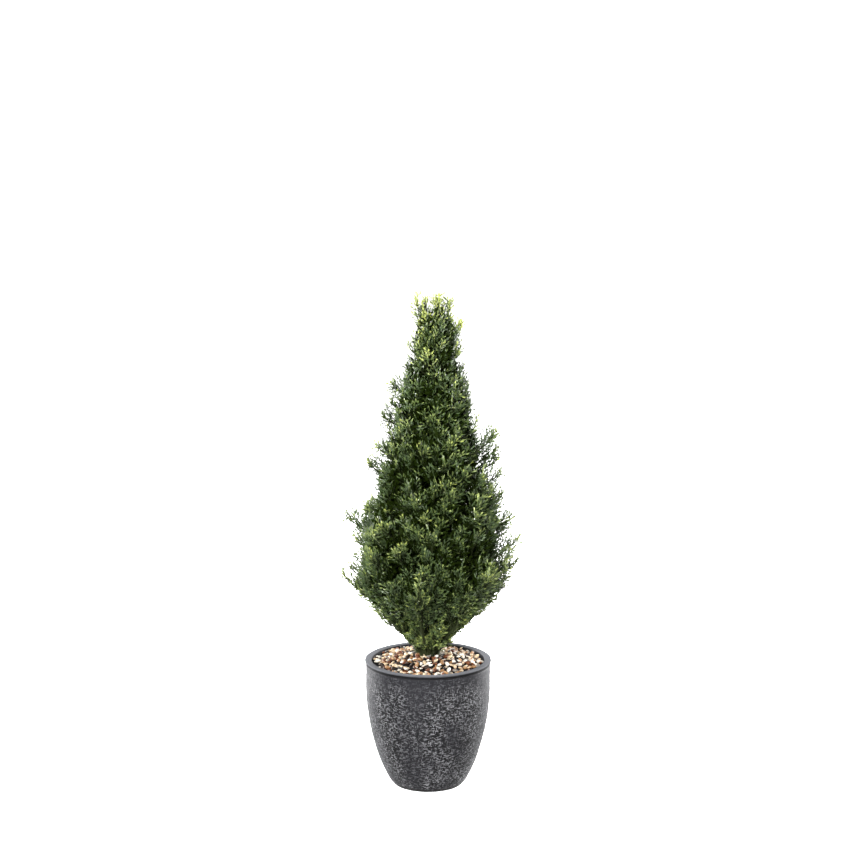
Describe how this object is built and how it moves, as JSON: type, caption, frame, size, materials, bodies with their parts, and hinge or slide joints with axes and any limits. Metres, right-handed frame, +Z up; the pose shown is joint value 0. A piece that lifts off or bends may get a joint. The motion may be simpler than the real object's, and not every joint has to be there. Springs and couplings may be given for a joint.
{
  "type": "potted artificial cedar topiary",
  "caption": "Conical artificial cedar with dense scale-leaf sprays on a leaning trunk, standing in a round slate-wash planter topped with pebbles.",
  "frame": {"origin": "centre of the planter's flat underside", "axes": "+Z up along the planter's axis, +X towards the side the tree leans to, -Y towards the viewer"},
  "size_m": [0.4232, 0.4306, 1.225],
  "materials": {
    "planter": "matte",
    "fill": "matte",
    "pebbles": "satin",
    "bark": "matte",
    "foliage": "satin"
  },
  "bodies": {
    "root": {"bough_1a": "bark", "bough_1b": "bark", "bough_1c": "bark", "bough_1d": "bark", "bough_1e": "bark", "bough_1f": "bark", "bough_1g": "bark", "bough_2a": "bark", "bough_2b": "bark", "bough_2c": "bark", "bough_2d": "bark", "bough_2e": "bark", "bough_2f": "bark", "bough_3a": "bark", "bough_3b": "bark", "bough_3c": "bark", "bough_3d": "bark", "bough_3e": "bark", "foliage_1a": "foliage", "foliage_1b": "foliage", "foliage_1c": "foliage", "foliage_1d": "foliage", "foliage_1e": "foliage", "foliage_1f": "foliage", "foliage_1g": "foliage", "foliage_2a": "foliage", "foliage_2b": "foliage", "foliage_2c": "foliage", "foliage_2d": "foliage", "foliage_2e": "foliage", "foliage_2f": "foliage", "foliage_3a": "foliage", "foliage_3b": "foliage", "foliage_3c": "foliage", "foliage_3d": "foliage", "foliage_3e": "foliage", "foliage_4a": "foliage", "foliage_4b": "foliage", "foliage_4c": "foliage", "foliage_4d": "foliage", "foliage_4e": "foliage", "foliage_5a": "foliage", "foliage_5b": "foliage", "foliage_5c": "foliage", "foliage_5d": "foliage", "foliage_6a": "foliage", "foliage_6b": "foliage", "foliage_6c": "foliage", "foliage_leader": "foliage", "pebble_bed": "pebbles", "planter": "planter", "planter_fill": "fill", "trunk": "bark"}
  },
  "joints": []
}
